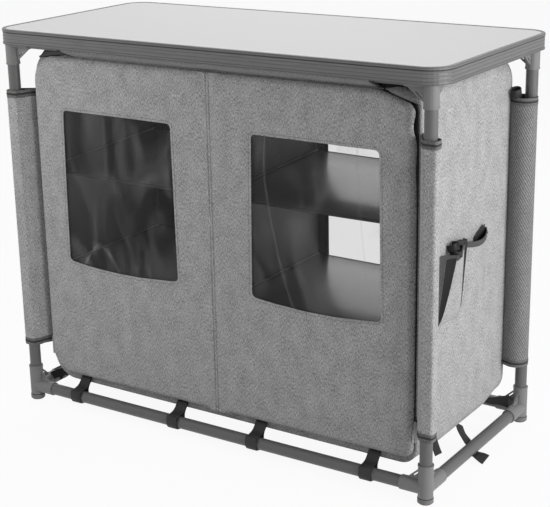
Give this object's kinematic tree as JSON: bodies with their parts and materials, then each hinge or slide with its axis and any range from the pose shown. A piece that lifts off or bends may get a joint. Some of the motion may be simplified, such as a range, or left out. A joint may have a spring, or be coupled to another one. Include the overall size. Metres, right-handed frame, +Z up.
{
  "type": "fabric camp kitchen cupboard",
  "caption": "Free-standing camp kitchen cupboard: a plugged tube frame, a lift-off worktop, and a hung fabric cabinet with zipped window doors, shelves and side pockets.",
  "frame": {"origin": "on the floor, under the middle of the worktop", "axes": "+X along the cupboard to the side with the utensil pockets, -Y out of the doors, +Z up"},
  "size_m": [1, 0.462, 0.8],
  "materials": {
    "board": "pale grey laminate, satin",
    "edge": "grey powder-coated extrusion, ribbed",
    "tube": "grey powder coat, satin",
    "moulding": "grey moulded plastic",
    "foot": "grey moulded plastic",
    "cloth": "heather grey polyester weave",
    "lining": "dark coated backing cloth",
    "film": "clear flexible film",
    "webbing": "black hook-and-loop webbing",
    "zip": "dark coil zip",
    "cord": "light grey braid"
  },
  "bodies": {
    "cupboard": {"leg_front_left": "tube", "leg_front_right": "tube", "leg_rear_left": "tube", "leg_rear_right": "tube", "top_rail_front": "tube", "top_rail_rear": "tube", "top_rail_left": "tube", "top_rail_right": "tube", "bottom_rail_front": "tube", "bottom_rail_rear": "tube", "bottom_rail_left": "tube", "bottom_rail_right": "tube", "upper_connector_front_left": "moulding", "upper_connector_front_right": "moulding", "upper_connector_rear_left": "moulding", "upper_connector_rear_right": "moulding", "lower_connector_front_left": "moulding", "lower_connector_front_right": "moulding", "lower_connector_rear_left": "moulding", "lower_connector_rear_right": "moulding", "foot_cap_front_left": "foot", "foot_cap_front_right": "foot", "foot_cap_rear_left": "foot", "foot_cap_rear_right": "foot", "side_wall_left": "cloth", "side_wall_right": "cloth", "door_surround": "cloth", "rear_panel": "cloth", "rail_wrap_front": "cloth", "rail_wrap_rear": "cloth", "leg_sleeve_front_left": "cloth", "leg_sleeve_front_right": "cloth", "leg_sleeve_rear_left": "cloth", "leg_sleeve_rear_right": "cloth", "side_pocket": "cloth", "floor_panel": "lining", "roof_panel": "lining", "divider": "lining", "shelf_lower_left": "lining", "shelf_lower_right": "lining", "shelf_upper_left": "lining", "shelf_upper_right": "lining", "front_strap_1": "webbing", "front_strap_2": "webbing", "front_strap_3": "webbing", "front_strap_4": "webbing", "side_strap_left": "webbing", "side_strap_right_front": "webbing", "side_strap_right_middle": "webbing", "zip_chain": "zip"},
    "worktop": {"worktop_board": "board", "worktop_edge": "edge"},
    "door_left": {"door_left": "cloth", "window_left": "film"},
    "door_right": {"door_right": "cloth", "window_right": "film"},
    "zip_slider_left": {"zip_slider_left": "zip", "zip_pull_left": "cord"},
    "zip_slider_right": {"zip_slider_right": "zip", "zip_pull_right": "cord"}
  },
  "joints": [
    {"name": "worktop_lift", "type": "slide", "parent": "cupboard", "child": "worktop", "axis": [0, 0, 1], "range_m": [0, 0.06]},
    {"name": "door_left_hinge", "type": "hinge", "parent": "cupboard", "child": "door_left", "pos_m": [-0.0044, -0.1965, 0.4075], "axis": [0, 0, 1], "range_deg": [0, 85]},
    {"name": "door_right_hinge", "type": "hinge", "parent": "cupboard", "child": "door_right", "pos_m": [0.0044, -0.1965, 0.4075], "axis": [0, 0, -1], "range_deg": [0, 85]},
    {"name": "zip_slider_left_slide", "type": "slide", "parent": "cupboard", "child": "zip_slider_left", "axis": [0, 0, 1], "range_m": [0, 0.53]},
    {"name": "zip_slider_right_slide", "type": "slide", "parent": "cupboard", "child": "zip_slider_right", "axis": [0, 0, 1], "range_m": [0, 0.53]}
  ]
}
